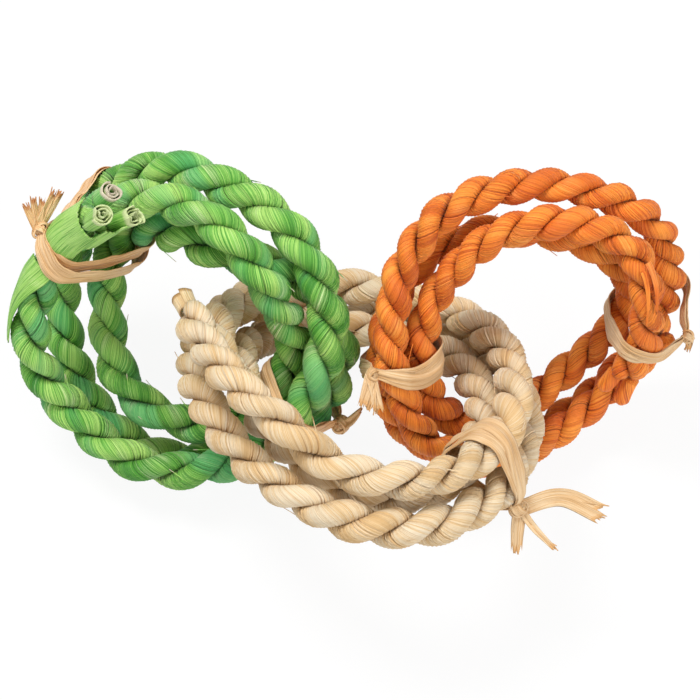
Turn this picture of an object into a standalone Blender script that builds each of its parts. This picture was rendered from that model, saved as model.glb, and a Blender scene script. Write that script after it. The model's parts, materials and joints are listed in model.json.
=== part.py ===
"""Three linked rings of two-ply husk rope, a chew toy for small pets.

Each ring is one rope wound three times round and tied with strips of dry husk. The cream ring is in the
middle, and a strand of the green ring and one of the orange ring pass through its hole. Metres, degrees,
+Z up, floor at zero.
"""

from dataclasses import dataclass
from math import cos, floor, pi, radians, sin, sqrt, tan

import bmesh
import bpy
from mathutils import Euler, Matrix, Vector

# Ropes
GREEN_ROPE = 0.012
CREAM_ROPE = 0.0115
ORANGE_ROPE = 0.0105
ROPE_GAP = 0.0011        # between neighbouring turns of one coil
CLIMB_ROOM = 1.08        # spare room for a rope's outer end where it lies over the inner end
END_TILT = 0.1           # slope of a rope's straight ends away from the bundle
LOOP_POINTS = 24         # points of the tube in each turn
FLAT_SHARE = 0.1         # a rope that lies on the floor is pressed flat by this share of its diameter

# Rings, half lengths at the middle of the bundle of turns
GREEN_HALF = 0.0395
GREEN_WIDEN = 0.001      # how much longer the other half axis is
ORANGE_HALF = 0.0373
ORANGE_WIDEN = 0.0037
CREAM_WIDEN = 0.0106
CREAM_PLAY = 0.0027      # left over in the cream ring's hole beside the two strands that pass through
STRAND_NEST = 0.0005     # how far the bundles of those two strands nest into each other
GREEN_SADDLE = -0.006    # how far a ring bows out of its plane
CREAM_SADDLE = 0.004
ORANGE_SADDLE = 0.006

# Where the two strands pass through the cream ring, from its centre
GREEN_LINK_BACK = 0.0062
GREEN_LINK_UP = 0.0006
ORANGE_LINK_BACK = 0.0009
ORANGE_LINK_UP = 0.004

# Husk strips, leaves and rolled ends
SEAT_GAP = 0.0003        # between a tie and the ropes under it
LEAF_GAP = 0.0006        # between a loose leaf and the rope under it
TIE_THICK = 0.001
TIE_LAYER = 0.00025      # how much further out, and further along, the second wrap of a strip lies
TIE_SIDES = 20
SCAN_STEP = 0.004        # of a turn, between the places where a tie looks for the ropes under it
SCAN_POINTS = 30         # such places each way from its middle
TIE_TURN = 0.4           # how far the second wrap's creases lie from the first one's, as a share of a side
BROAD_TIE = 0.0072       # width of the green ring's upper strip
TIE_WIDTH = 0.0055
KNOT_LENGTH = 0.0072
KNOT_HEIGHT = 0.0044
KNOT_BULGE = 1.15        # width of a knot as a share of its strip's
TAIL_THICK = 0.0009
LEAF_THICK = 0.0007
ROLL_THICK = 0.0006
ROLL_PITCH = 0.0012      # from one layer of a rolled husk to the next
GREEN_ROLL = 0.0056      # diameter of a rolled husk at the green rope's cut end
CREAM_ROLL = 0.0058
ROLL_FLARE = 1.08        # how much wider a rolled husk is at its open end
ROLL_SPLAY = 0.12        # slope of the green rolls away from each other
STRAND_END = 0.0048      # diameter of a ply at the orange rope's cut end
STRAND_SPREAD = 0.0012   # how far each ply's tip stands away from the other


def smooth(x):
    """0 below 0, 1 above 1, and an even ease between."""
    x = min(max(x, 0.0), 1.0)
    return x * x * (3 - 2 * x)


def bundle_offset(rope):
    """How far each of three touching ropes lies from the middle of their bundle."""
    return (rope + ROPE_GAP) / sqrt(3)


def bundle_radius(rope):
    return bundle_offset(rope) + rope / 2


@dataclass
class Coil:
    """One rope wound about three times round an oval, its turns side by side in a bundle.

    Angles are degrees about the ring's own axis. The three turns sit a third of a circle apart round the
    middle of the bundle. Once in each turn all of them step on by one place, which makes the winding one
    unbroken rope. Places along the rope are counted in turns. It is wound from start to end, and runs
    straight for one rope diameter from start back to root and from end on to tip.
    """
    rope: float
    half_x: float
    half_y: float
    spin: float              # turns the oval in its plane
    saddle: float
    saddle_at: float
    place: float             # where the first turn sits in the bundle, 90 being up along the ring's axis
    step: int                # which way the turns step on
    step_at: float           # share of a turn after the start at which they do
    step_span: float
    spread: float            # how much wider than touching the bundle is, away from the drawn-in stretches
    lift: float              # the same along the ring's axis
    drawn: tuple             # drawn-in stretches: angle, half length, ease
    first: float             # angle at which the winding is counted from
    start: float             # in turns
    steps: int               # segments of the tube
    climb_turn: float        # how far round the bundle the outer end moves as it climbs over the inner end
    climb: float             # turn at which it has done so
    climb_span: float

    def __post_init__(self):
        self.end = self.start + self.steps / LOOP_POINTS
        self.run = self.rope / self.turn_length()
        self.tip = self.end + self.run
        self.root = self.start - self.run

    def middle(self, angle):
        """A point on the bundle's centre line."""
        a = radians(angle)
        x, y = self.half_x * cos(a), self.half_y * sin(a)
        z = self.saddle * cos(2 * (a - radians(self.saddle_at)))
        s = radians(self.spin)
        return Vector((x * cos(s) - y * sin(s), x * sin(s) + y * cos(s), z))

    def frame(self, angle):
        """The centre line's point, its clockwise direction, and those outward and upward across it."""
        point = self.middle(angle)
        along = (self.middle(angle - 0.5) - self.middle(angle + 0.5)).normalized()
        outward = along.cross(Vector((0, 0, 1))).normalized()
        if outward.dot(point) < 0:
            outward = -outward
        up = outward.cross(along).normalized()
        if up.z < 0:
            up = -up
        return point, along, outward, up

    def angle(self, t):
        return self.first - 360 * t

    def spread_share(self, angle):
        share = 1.0
        for at, hold, ease in self.drawn:
            away = abs((angle - at + 180) % 360 - 180)
            share = min(share, smooth((away - hold) / ease))
        return share

    def bundle_angle(self, t):
        q = t - self.step_at + 0.5
        places = floor(q) + smooth((q - floor(q) - 0.5) / self.step_span + 0.5)
        return radians(self.place + self.step * 120 * places)

    def outward_at(self, t):
        """The direction from the bundle's middle to the rope."""
        point, along, _, _ = self.frame(self.angle(t))
        way = self.wound_point(t) - point
        return (way - along * way.dot(along)).normalized()

    def rope_point(self, t):
        """The rope's centre after t turns."""
        bent = min(max(t, self.start), self.end)
        if bent == t:
            return self.wound_point(t)
        ahead = (self.wound_point(bent + 0.001) - self.wound_point(bent - 0.001)).normalized()
        past = (t - bent) * self.turn_length()
        return self.wound_point(bent) + ahead * past + self.outward_at(bent) * (abs(past) * END_TILT)

    def tube_point(self, t):
        """The same on the tube, which is straight between its points."""
        if t <= self.start or t >= self.end:
            return self.rope_point(t)
        place = (t - self.start) * LOOP_POINTS
        near = self.start + floor(place) / LOOP_POINTS
        return self.rope_point(near).lerp(self.rope_point(near + 1 / LOOP_POINTS), place - floor(place))

    def wound_point(self, t):
        angle = self.angle(t)
        point, _, outward, up = self.frame(angle)
        share = self.spread_share(angle)
        climb = smooth((t - self.climb) / self.climb_span + 1)
        lean = cos(radians(self.climb_turn))
        clear = (lean + sqrt(lean ** 2 + 2)) * CLIMB_ROOM
        a = self.bundle_angle(t) + radians(self.climb_turn) * climb
        place = Vector((cos(a), sin(a))) * bundle_offset(self.rope) * (1 + (clear - 1) * climb)
        across = place.x * (1 + (self.spread - 1) * share)
        rise = place.y * (1 + (self.lift - 1) * share)
        return point + outward * across + up * rise

    def rope_along(self, t):
        return (self.rope_point(t + 0.002) - self.rope_point(t - 0.002)).normalized()

    def rope_points(self, fineness=1):
        """Points along the rope, from its inner end to its outer end."""
        count = self.steps * fineness
        turns = [self.start + i / (LOOP_POINTS * fineness) for i in range(count + 1)]
        return [self.rope_point(t) for t in [self.root] + turns + [self.tip]]

    def passes(self, angle):
        """Every t at which the rope goes by this angle, or nearly comes to it."""
        t = ((self.first - angle) / 360) % 1
        return [t + k for k in range(-1, 5) if self.root - self.run <= t + k <= self.tip + self.run]

    def tip_axes(self):
        """The middle of the outer end's face, and the directions ahead, away from the bundle and across."""
        ahead = (self.rope_point(self.tip) - self.rope_point(self.end)).normalized()
        out = self.outward_at(self.end)
        out = (out - ahead * out.dot(ahead)).normalized()
        return self.rope_point(self.tip), ahead, out, ahead.cross(out)

    def turn_length(self):
        return pi * (self.half_x + self.half_y)

    def least_gap(self, fineness=4):
        """Least clear space between turns of the coil, on points closer than the tube's own."""
        points = self.rope_points(fineness)
        apart = LOOP_POINTS * fineness // 4
        least = min((p - q).length for i, p in enumerate(points) for q in points[i + apart:])
        return least - self.rope


CREAM_HALF = CREAM_PLAY + sum(bundle_radius(rope) for rope in (CREAM_ROPE, GREEN_ROPE, ORANGE_ROPE))
GREEN = Coil(
    rope=GREEN_ROPE, half_x=GREEN_HALF, half_y=GREEN_HALF + GREEN_WIDEN, spin=-24,
    saddle=GREEN_SADDLE, saddle_at=17,
    place=72, step=1, step_at=0.32, step_span=0.3, spread=1.45, lift=1.0, drawn=((15, 45, 45), (182, 8, 38)),
    first=180, start=-0.02, steps=74, climb_turn=14, climb=2.88, climb_span=0.14)
CREAM = Coil(
    rope=CREAM_ROPE, half_x=CREAM_HALF, half_y=CREAM_HALF + CREAM_WIDEN, spin=30,
    saddle=CREAM_SADDLE, saddle_at=-10,
    place=82, step=1, step_at=0.21, step_span=0.3, spread=1.0, lift=1.1, drawn=((0, 40, 40), (180, 40, 40)),
    first=180, start=0.005, steps=72, climb_turn=-18, climb=2.945, climb_span=0.1)
ORANGE = Coil(
    rope=ORANGE_ROPE, half_x=ORANGE_HALF + ORANGE_WIDEN, half_y=ORANGE_HALF, spin=33,
    saddle=ORANGE_SADDLE, saddle_at=0,
    place=83, step=-1, step_at=0.56, step_span=0.4, spread=1.3, lift=1.0, drawn=((170, 45, 45), (-44, 5, 38)),
    first=-50, start=0.03, steps=71, climb_turn=36, climb=2.93, climb_span=0.14)

GREEN_LINK_ANGLE = 25        # where each outer ring's strand passes through the cream ring
ORANGE_LINK_ANGLE = 150


def material(name, colour, roughness):
    """A plain husk finish. The colour is given as seen, 0 to 255."""
    made = bpy.data.materials.new(name)
    made.use_nodes = True
    shader = made.node_tree.nodes["Principled BSDF"]
    linear = [(c / 255 / 12.92 if c < 11 else ((c / 255 + 0.055) / 1.055) ** 2.4) for c in colour]
    shader.inputs["Base Color"].default_value = (*linear, 1)
    shader.inputs["Roughness"].default_value = roughness
    shader.inputs["Metallic"].default_value = 0.0
    return made


class Ring:
    """A coil placed in the toy, with everything that is tied to it or sticks out of it.

    Its empty sits on the strand that the ring swings on, so the pieces' points are counted from there.
    """

    def __init__(self, name, coil, lean, heading, link_angle, parent):
        self.name, self.coil = name, coil
        self.empty = bpy.data.objects.new(f"{name}_ring", None)
        bpy.context.collection.objects.link(self.empty)
        self.empty.parent = parent
        self.empty.rotation_euler = Euler((radians(lean), 0, radians(heading)))
        self.origin = coil.middle(link_angle) if link_angle is not None else Vector((0, 0, 0))

    def put_at(self, place):
        self.empty.location = place

    @property
    def matrix(self):
        """From the coil's own coordinates to the toy's."""
        return Matrix.Translation(self.empty.location) @ self.empty.rotation_euler.to_matrix().to_4x4() \
            @ Matrix.Translation(-self.origin)

    def lowest(self):
        return min((self.matrix @ point).z for point in self.coil.rope_points()) - self.coil.rope / 2

    def add(self, name, mesh, finish, facet=35):
        """Make a node of a mesh given in the coil's own coordinates."""
        mesh.transform(Matrix.Translation(-self.origin))
        mesh.shade_smooth()
        mesh.set_sharp_from_angle(angle=radians(facet))
        mesh.materials.append(finish)
        made = bpy.data.objects.new(name, mesh)
        bpy.context.collection.objects.link(made)
        made.parent = self.empty
        return made


def new_mesh(name, points, faces):
    mesh = bpy.data.meshes.new(name)
    mesh.from_pydata([tuple(p) for p in points], [], faces)
    body = bmesh.new()
    body.from_mesh(mesh)
    bmesh.ops.recalc_face_normals(body, faces=body.faces)
    body.to_mesh(mesh)
    body.free()
    return mesh


def tube_mesh(name, points, diameter, swell=None):
    """A round tube along points, closed at both ends, made as a bevelled curve."""
    curve = bpy.data.curves.new(name, "CURVE")
    curve.dimensions = "3D"
    curve.bevel_depth = diameter / 2
    curve.bevel_resolution = 1
    curve.use_fill_caps = True
    spline = curve.splines.new("POLY")
    spline.points.add(len(points) - 1)
    for knot, point, share in zip(spline.points, points, swell or [1.0] * len(points)):
        knot.co = (*point, 1)
        knot.radius = share
    holder = bpy.data.objects.new(name, curve)
    bpy.context.collection.objects.link(holder)
    mesh = bpy.data.meshes.new_from_object(holder.evaluated_get(bpy.context.evaluated_depsgraph_get()))
    bpy.data.objects.remove(holder)
    body = bmesh.new()
    body.from_mesh(mesh)
    bmesh.ops.remove_doubles(body, verts=body.verts, dist=1e-6)
    bmesh.ops.recalc_face_normals(body, faces=body.faces)
    body.to_mesh(mesh)
    body.free()
    return mesh


def grid_solid(name, sections):
    """A solid from closed sections of equal count, joined in order and capped at both ends."""
    count = len(sections[0])
    points = [p for section in sections for p in section]
    faces = [list(range(count))[::-1]]
    for k in range(len(sections) - 1):
        for i in range(count):
            j = (i + 1) % count
            faces.append([k * count + i, k * count + j, (k + 1) * count + j, (k + 1) * count + i])
    faces.append([(len(sections) - 1) * count + i for i in range(count)])
    return new_mesh(name, points, faces)


def strip_mesh(name, points, widths, face, thickness):
    """A flat strip along points, its broad side looking along face."""
    sections = []
    for i, (point, width) in enumerate(zip(points, widths)):
        along = (points[min(i + 1, len(points) - 1)] - points[max(i - 1, 0)]).normalized()
        side = along.cross(face).normalized()
        normal = side.cross(along).normalized()
        s, n = side * (width / 2), normal * (thickness / 2)
        sections.append([point - s - n, point + s - n, point + s + n, point - s + n])
    return grid_solid(name, sections)


def wind_rope(ring, finish, floor_height):
    """The wound rope, pressed flat where it lies on the floor."""
    coil = ring.coil
    mesh = tube_mesh(f"{ring.name}_rope", coil.rope_points(), coil.rope)
    back = ring.matrix.inverted()
    body = bmesh.new()
    body.from_mesh(mesh)
    bmesh.ops.bisect_plane(
        body, geom=body.verts[:] + body.edges[:] + body.faces[:], dist=1e-7, clear_inner=True,
        plane_co=back @ Vector((0, 0, floor_height)), plane_no=back.to_3x3() @ Vector((0, 0, 1)))
    bmesh.ops.holes_fill(body, edges=[e for e in body.edges if e.is_boundary])
    bmesh.ops.recalc_face_normals(body, faces=body.faces)
    body.to_mesh(mesh)
    body.free()
    print(f"{ring.name} rope: least gap to itself {coil.least_gap() * 1000:.2f} mm")
    return ring.add(f"{ring.name}_rope", mesh, finish, facet=65)


class Tie:
    """A husk strip round a ring's bundle of turns, with its knot and its loose ends.

    Its wraps cross at the knot, and each slants along the bundle by so many degrees away from there.
    """

    def __init__(self, ring, name, angle, width, slants, knot_at, finish):
        self.ring, self.name, self.angle, self.width, self.finish = ring, name, angle, width, finish
        self.point, self.along, self.outward, self.up = ring.coil.frame(angle)
        self.slants = slants
        self.pole = self.direction(radians(knot_at))
        self.knot_reach = 0.0
        self.knot_reach = max(place.dot(self.pole) for place in self.outline(TIE_THICK, 0, 0))

    def direction(self, a):
        return self.outward * cos(a) + self.up * sin(a)

    def lean(self, slant, place):
        """How far along the bundle a wrap has slanted where it is at this place across the bundle."""
        return (self.knot_reach - place.dot(self.pole)) * tan(radians(slant))

    def ropes_under(self, slant):
        """Middles of the ropes, from the bundle's middle, wherever a wrap goes over them."""
        coil = self.ring.coil
        half_length = self.width / 2 + TIE_LAYER + coil.rope * abs(tan(radians(slant)))
        found = []
        for t in coil.passes(self.angle):
            for k in range(-SCAN_POINTS, SCAN_POINTS + 1):
                place = min(max(t + k * SCAN_STEP, coil.root), coil.tip)
                middle = coil.tube_point(place) - self.point
                if abs(middle.dot(self.along) - self.lean(slant, middle)) < half_length:
                    found.append(middle)
        return found

    def outline(self, extra, slant, layer):
        """A wrap's outline round the bundle: the tangents at even angles, cut where they cross."""
        step = 2 * pi / TIE_SIDES
        turned = [(i + layer * TIE_TURN) * step for i in range(TIE_SIDES)]
        middles = self.ropes_under(slant)
        clear = self.ring.coil.rope / 2 + SEAT_GAP + extra
        reach = [max(middle.dot(self.direction(a)) for middle in middles) + clear for a in turned]
        outline = []
        for i, a in enumerate(turned):
            near, far = reach[i], reach[(i + 1) % TIE_SIDES]
            side = (far - near * cos(step)) / sin(step)
            outline.append(self.direction(a) * near + self.direction(a + pi / 2) * side)
        return outline

    def wrap(self, slant, layer):
        """One wrap of the strip."""
        rings = []
        beyond = layer * TIE_LAYER
        for extra in (beyond, beyond + TIE_THICK):
            outline = self.outline(extra, slant, layer)
            for end in (-1, 1):
                shift = end * self.width / 2 + beyond
                rings.append([self.point + p + self.along * (shift + self.lean(slant, p)) for p in outline])
        inner_a, inner_b, outer_a, outer_b = rings
        order = [inner_a, inner_b, outer_b, outer_a]
        points = [p for ring in order for p in ring]
        faces = []
        for k in range(4):
            for i in range(TIE_SIDES):
                j = (i + 1) % TIE_SIDES
                n, m = k * TIE_SIDES, (k + 1) % 4 * TIE_SIDES
                faces.append([n + i, n + j, m + j, m + i])
        return new_mesh(f"{self.name}_wrap", points, faces)

    def knot_axes(self):
        """The knot's seat on the strip, and the directions out from and round the bundle."""
        around = self.along.cross(self.pole).normalized()
        spots = self.outline(TIE_THICK / 2, self.slants[0], 0)
        first, second = sorted(spots, key=self.pole.dot)[-2:]
        return self.point + (first + second) / 2, self.pole, around

    def knot(self):
        seat, out, around = self.knot_axes()
        body = bmesh.new()
        bmesh.ops.create_icosphere(body, subdivisions=2, radius=0.5)
        axes = Matrix((around * KNOT_LENGTH, self.along * (self.width * KNOT_BULGE), out * KNOT_HEIGHT))
        body.transform(Matrix.Translation(seat + out * (KNOT_HEIGHT / 2)) @ axes.transposed().to_4x4())
        bmesh.ops.recalc_face_normals(body, faces=body.faces)
        mesh = bpy.data.meshes.new(f"{self.name}_knot")
        body.to_mesh(mesh)
        body.free()
        return mesh

    def tail(self, route, widths, broad):
        """A loose end from the knot. Its route and broad side are out from, round and along the bundle."""
        seat, out, around = self.knot_axes()
        axes = Matrix((out, around, self.along)).transposed()
        middle = seat + out * (KNOT_HEIGHT / 2)
        points = [middle] + [middle + axes @ step for step in route]
        return strip_mesh(f"{self.name}_tail", points, widths, axes @ Vector(broad), TAIL_THICK)

    def make(self, tails, broad):
        """Join the wraps, the knot and the loose ends into one strip."""
        pieces = [self.wrap(slant, layer) for layer, slant in enumerate(self.slants)]
        pieces += [self.knot()]
        pieces += [self.tail(route, widths, broad) for route, widths in tails]
        strip = self.ring.add(self.name, pieces[0], self.finish)
        for i, mesh in enumerate(pieces[1:]):
            helper = self.ring.add(f"{self.name}_join_{i}", mesh, self.finish)
            helper.hide_render = True
            helper.display_type = "WIRE"
            join = strip.modifiers.new(f"join_{i}", "BOOLEAN")
            join.operation = "UNION"
            join.solver = "EXACT"
            join.object = helper
        return strip


def rolled_husk(ring, name, base, heading, side, diameter, length, finish, turns=1.4, sides=18):
    """A husk rolled up on itself, open at its end."""
    heading = heading.normalized()
    across = (side - heading * side.dot(heading)).normalized()
    other = heading.cross(across)
    steps = [turns * j / sides for j in range(sides + 1)]
    edge = [(diameter / 2 - ROLL_PITCH * step, 2 * pi * step) for step in steps]
    outer = [across * (r * cos(a)) + other * (r * sin(a)) for r, a in edge]
    inner = [across * ((r - ROLL_THICK) * cos(a)) + other * ((r - ROLL_THICK) * sin(a)) for r, a in edge]
    section = outer + inner[::-1]
    count = len(section)
    points = [base + p for p in section] + [base + heading * length + p * ROLL_FLARE for p in section]
    faces = [[i, (i + 1) % count, count + (i + 1) % count, count + i] for i in range(count)]
    for j in range(sides):
        quad = [j, j + 1, count - 2 - j, count - 1 - j]
        faces.append(quad[::-1])
        faces.append([count + i for i in quad])
    return ring.add(name, new_mesh(name, points, faces), finish)


def leaf_over_rope(ring, name, start, end, centres, arcs, finish, gap=LEAF_GAP, rows=6, columns=6):
    """A flat husk leaf on a turn of the rope. Its two ends reach these arcs, degrees each side of centre."""
    coil = ring.coil
    sections = []
    for k in range(rows + 1):
        t = start + (end - start) * k / rows
        along = coil.rope_along(t)
        out = coil.outward_at(t)
        out = (out - along * out.dot(along)).normalized()
        side = along.cross(out)
        half = arcs[0] + (arcs[1] - arcs[0]) * smooth(k / rows)
        centre = centres[0] + (centres[1] - centres[0]) * k / rows
        low, high = coil.rope / 2 + gap, coil.rope / 2 + gap + LEAF_THICK
        arc = [radians(centre + half * (2 * i / columns - 1)) for i in range(columns + 1)]
        spot = coil.tube_point(t)
        section = [spot + (out * cos(a) + side * sin(a)) * low for a in arc]
        section += [spot + (out * cos(a) + side * sin(a)) * high for a in arc[::-1]]
        sections.append(section)
    return ring.add(name, grid_solid(name, sections), finish)


def green_pieces(ring, husk, leaf, tan_husk):
    coil = ring.coil
    tassel = []
    for k in range(5):
        tip = Vector((0.0069, -0.0018, 0.0029)).lerp(Vector((0.0009, -0.0073, 0.0091)), k / 4)
        tassel.append(([tip * 0.55, tip * (1.0 + 0.15 * (k % 2))], [0.0035, 0.0028, 0.002]))
    Tie(ring, "green_upper_tie", 174, BROAD_TIE, (1, -12), 20, tan_husk).make(tassel, (0, 1, 1))
    tail = ([Vector((0.0015, 0.002, -0.004)), Vector((0.002, 0.004, -0.01))], [0.003, 0.0022, 0.0014])
    Tie(ring, "green_lower_tie", 7, TIE_WIDTH, (5, -5), 0, tan_husk).make([tail], (0, 1, -0.5))
    end, ahead, out, side = coil.tip_axes()
    for k, length in enumerate((0.0075, 0.006, 0.0085)):
        a = radians(90 + 120 * k)
        spoke = out * sin(a) + side * cos(a)
        base = end + ahead * (SEAT_GAP + GREEN_ROLL * ROLL_SPLAY * 0.67) + spoke * (GREEN_ROLL * 0.68)
        heading = ahead + spoke * ROLL_SPLAY
        rolled_husk(ring, f"green_end_roll_{k + 1}", base, heading, spoke, GREEN_ROLL, length, husk)
    leaf_over_rope(ring, "green_end_leaf", coil.tip - 0.062, coil.tip - 0.002, (-15, -15), (75, 72), leaf)
    leaf_over_rope(ring, "green_wrap_leaf", coil.tip - 0.148, coil.tip - 0.25, (20, 75), (50, 16), leaf)


def cream_pieces(ring, husk, tie_husk):
    coil = ring.coil
    long_tail = ([Vector((0.007, 0.006, -0.005)), Vector((0.0145, 0.0125, -0.012))], [0.0042, 0.0044, 0.0048])
    down_tail = ([Vector((0.004, -0.0024, 0.0034)), Vector((0.0084, -0.0047, 0.0068))], [0.004, 0.004, 0.003])
    thin_tail = ([Vector((0.007, 0.0006, 0.001)), Vector((0.0146, 0.0013, 0.0008))], [0.0028, 0.0022, 0.0014])
    tails = [long_tail, down_tail, thin_tail]
    Tie(ring, "cream_tie", -58, TIE_WIDTH, (6, -6), -40, tie_husk).make(tails, (0, 1, 1))
    end, ahead, out, _ = coil.tip_axes()
    rolled_husk(ring, "cream_end_roll", end + ahead * SEAT_GAP, ahead, out, CREAM_ROLL, 0.005, husk)


def orange_pieces(ring, husk, tie_husk):
    coil = ring.coil
    tassel = []
    for k in range(3):
        tip = Vector((0.0035, 0.0012, -0.0052)).lerp(Vector((0.0006, 0.003, -0.0066)), k / 2)
        tassel.append(([tip * 0.55, tip], [0.003, 0.0024, 0.0016]))
    Tie(ring, "orange_left_tie", 141, TIE_WIDTH, (4, -4), 20, tie_husk).make(tassel, (0.5, 1, 0.3))
    short = ([Vector((0.002, -0.002, -0.002)), Vector((0.004, -0.004, -0.005))], [0.003, 0.0024, 0.0016])
    Tie(ring, "orange_right_tie", -44, TIE_WIDTH, (5, -5), 40, tie_husk).make([short], (0, 1, -1))
    end, ahead, _, side = coil.tip_axes()
    for k, (way, length) in enumerate(((1, 0.0085), (-1, 0.0105))):
        base = end + ahead * SEAT_GAP + side * (way * (STRAND_END + SEAT_GAP) / 2)
        spread = side * (way * STRAND_SPREAD)
        route = [base + ahead * (length * s) + spread * (s * s) for s in (0, 0.35, 0.7, 0.9, 1.0)]
        mesh = tube_mesh(f"orange_strand_end_{k + 1}", route, STRAND_END, [1, 1, 0.95, 0.75, 0.4])
        ring.add(f"orange_strand_end_{k + 1}", mesh, husk)
    for k, (start, end, centre, arcs) in enumerate(((0.183, 0.14, -30, (9, 4)), (0.178, 0.128, -4, (8, 3)))):
        name, centres = f"orange_sliver_{k + 1}", (centre, centre)
        leaf_over_rope(ring, name, coil.tip - start, coil.tip - end, centres, arcs, husk, SEAT_GAP, columns=2)


def build():
    for old in list(bpy.data.objects):
        bpy.data.objects.remove(old)
    toy = bpy.data.objects.new("toy", None)
    bpy.context.collection.objects.link(toy)

    cream = Ring("cream", CREAM, -32, -12, None, toy)
    green = Ring("green", GREEN, 56, -28, GREEN_LINK_ANGLE, toy)
    orange = Ring("orange", ORANGE, 63, 18, ORANGE_LINK_ANGLE, toy)
    green.put_at(Vector((STRAND_NEST - bundle_radius(GREEN_ROPE), GREEN_LINK_BACK, GREEN_LINK_UP)))
    orange.put_at(Vector((bundle_radius(ORANGE_ROPE), ORANGE_LINK_BACK, ORANGE_LINK_UP)))
    rings = (green, cream, orange)

    green_husk = material("green_husk", (84, 160, 66), 0.6)
    green_leaf = material("green_leaf", (157, 206, 99), 0.55)
    cream_husk = material("cream_husk", (232, 210, 175), 0.65)
    orange_husk = material("orange_husk", (233, 122, 45), 0.6)
    tan_husk = material("tan_husk", (214, 169, 115), 0.6)
    pale_husk = material("pale_husk", (238, 202, 150), 0.6)

    floor_height = max(ring.lowest() + FLAT_SHARE * ring.coil.rope for ring in rings)
    for ring, finish in zip(rings, (green_husk, cream_husk, orange_husk)):
        wind_rope(ring, finish, floor_height)
    green_pieces(green, green_husk, green_leaf, tan_husk)
    cream_pieces(cream, cream_husk, pale_husk)
    orange_pieces(orange, orange_husk, pale_husk)

    # Stand the toy on the floor, with the middle of its box over the origin
    bpy.context.view_layer.update()
    corners = [o.matrix_world @ v.co for o in bpy.data.objects if o.type == "MESH" for v in o.data.vertices]
    middle = [(min(c[i] for c in corners) + max(c[i] for c in corners)) / 2 for i in range(2)]
    toy.location = (-middle[0], -middle[1], -floor_height)
    bpy.context.view_layer.update()
    for ring in (green, orange):
        place = [round(v, 5) for v in ring.empty.matrix_world.translation]
        print(f"{ring.name} ring swings about a line through", place)


build()
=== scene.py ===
"""The husk toy's looks: ropes of two twisted husk plies, husk ties, leaves and rolled ends on a white table.

The ropes' routes are the same windings as the solids', so each ply lies where its rope's solid is.
"""

import json
from dataclasses import dataclass
from math import cos, pi, radians, sin, sqrt, tan

import bmesh
import bpy
import numpy as np
from mathutils import Euler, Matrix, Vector


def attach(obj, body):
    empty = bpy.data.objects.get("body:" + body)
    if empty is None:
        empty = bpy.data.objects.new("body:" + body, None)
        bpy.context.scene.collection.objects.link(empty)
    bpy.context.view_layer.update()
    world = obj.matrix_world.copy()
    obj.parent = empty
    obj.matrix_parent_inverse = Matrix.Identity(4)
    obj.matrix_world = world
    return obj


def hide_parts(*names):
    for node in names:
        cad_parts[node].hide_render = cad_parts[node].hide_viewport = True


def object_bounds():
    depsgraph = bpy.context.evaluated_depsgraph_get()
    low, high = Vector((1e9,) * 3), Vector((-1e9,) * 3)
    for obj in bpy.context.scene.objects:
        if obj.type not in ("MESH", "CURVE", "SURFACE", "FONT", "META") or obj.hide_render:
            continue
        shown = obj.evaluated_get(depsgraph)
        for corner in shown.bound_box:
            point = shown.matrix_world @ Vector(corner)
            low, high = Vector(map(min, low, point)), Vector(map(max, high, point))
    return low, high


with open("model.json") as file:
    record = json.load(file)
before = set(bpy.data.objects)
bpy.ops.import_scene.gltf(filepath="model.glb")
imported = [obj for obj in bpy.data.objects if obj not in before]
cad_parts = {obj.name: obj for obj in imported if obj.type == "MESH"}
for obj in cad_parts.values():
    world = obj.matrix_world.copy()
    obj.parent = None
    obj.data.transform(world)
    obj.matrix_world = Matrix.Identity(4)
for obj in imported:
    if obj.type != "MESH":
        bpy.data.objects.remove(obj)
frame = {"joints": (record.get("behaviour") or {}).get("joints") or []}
cad_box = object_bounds()

# Ropes and rings, in metres, as in the solids
GREEN_ROPE = 0.012
CREAM_ROPE = 0.0115
ORANGE_ROPE = 0.0105
ROPE_GAP = 0.0011
CLIMB_ROOM = 1.08
END_TILT = 0.1
LOOP_POINTS = 24
GREEN_HALF = 0.0395
GREEN_WIDEN = 0.001
ORANGE_HALF = 0.0373
ORANGE_WIDEN = 0.0037
CREAM_WIDEN = 0.0106
CREAM_PLAY = 0.0027
STRAND_NEST = 0.0005
GREEN_LINK = 25
ORANGE_LINK = 150
GREEN_LINK_BACK = 0.0062
GREEN_LINK_UP = 0.0006

# Plies, as shares of a rope's diameter, and the lengths of one twist of the two plies
PLY_OFFSET = 0.232
PLY_THICK = 0.272
PLY_WIDE = 0.288
GREEN_LAY = 0.0268
CREAM_LAY = 0.0243
ORANGE_LAY = 0.0207
FIBRE_SLOPE = 2.6        # the husk's fibres run back round the ply, across the rope
PLY_SIDES = 72
PLY_STEP = 0.0007
LAY_SWAY = 0.65          # radians that the lay wanders along the rope
LOOSENESS = 0.12         # share of its offset that a ply wanders in and out
SWELL = 0.08             # share of its thickness that a ply swells and thins
FOLDS = 9                # in each ply, along its fibres
FOLD_DEPTH = 0.11        # folds and wrinkles as shares of the ply's thickness
FOLD_LIP = 0.05
WRINKLE = 0.02
FIBRE_WANDER = 0.0035
ROUTE_POINTS = 1500
TUCKED_SHADE = 0.62      # painted shade where a ply turns in to the other
LOOSE_FIBRES = 14        # on each ply
LOOSE_WIDTHS = (0.0004, 0.0003, 0.0002)

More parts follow.
